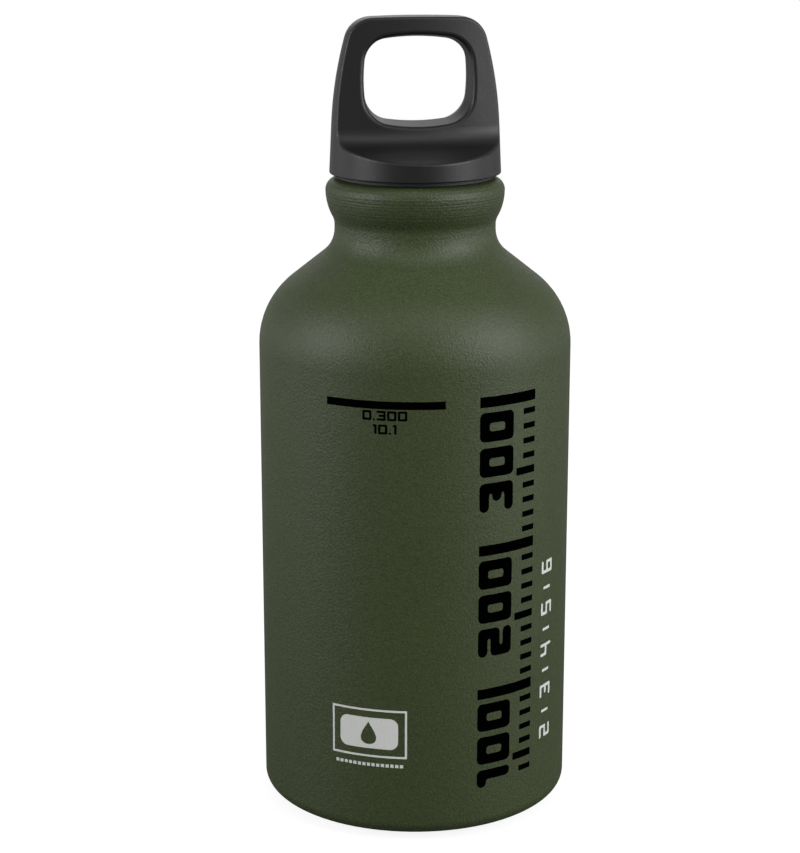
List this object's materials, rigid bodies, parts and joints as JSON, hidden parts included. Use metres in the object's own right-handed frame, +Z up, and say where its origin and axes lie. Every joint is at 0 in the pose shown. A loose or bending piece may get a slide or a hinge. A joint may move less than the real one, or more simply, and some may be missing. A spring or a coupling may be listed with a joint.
{
  "type": "camping fuel bottle",
  "caption": "Slim-shouldered metal liquid fuel bottle with a threaded neck bead and a screw stopper that carries a carrying loop.",
  "frame": {"origin": "centre of the standing ring, on the surface that the bottle stands on", "axes": "+Z up along the bottle's axis; the cap's loop lies in the XZ plane, and -Y is the front"},
  "size_m": [0.066, 0.066, 0.1684],
  "materials": {
    "green_powder_coat": "matte",
    "bare_aluminium": "satin",
    "black_rubber": "matte",
    "black_nylon": "matte"
  },
  "bodies": {
    "bottle": {"bottle_shell": "green_powder_coat", "neck_thread_ring": "bare_aluminium"},
    "seal": {"mouth_gasket": "black_rubber"},
    "cap": {"cap_loop_shell": "black_nylon", "threaded_stopper": "black_nylon"}
  },
  "joints": [
    {"name": "cap_rise", "type": "slide", "parent": "bottle", "child": "seal", "axis": [0, 0, 1], "range_m": [0, 0.0175]},
    {"name": "cap_turn", "type": "hinge", "parent": "seal", "child": "cap", "pos_m": [0, 0, 0.1368], "axis": [0, 0, 1], "range_deg": [0, 1800]}
  ],
  "couplings": [
    {"joint": "cap_rise", "follows": "cap_turn", "m_per_rad": 0.00055704}
  ]
}
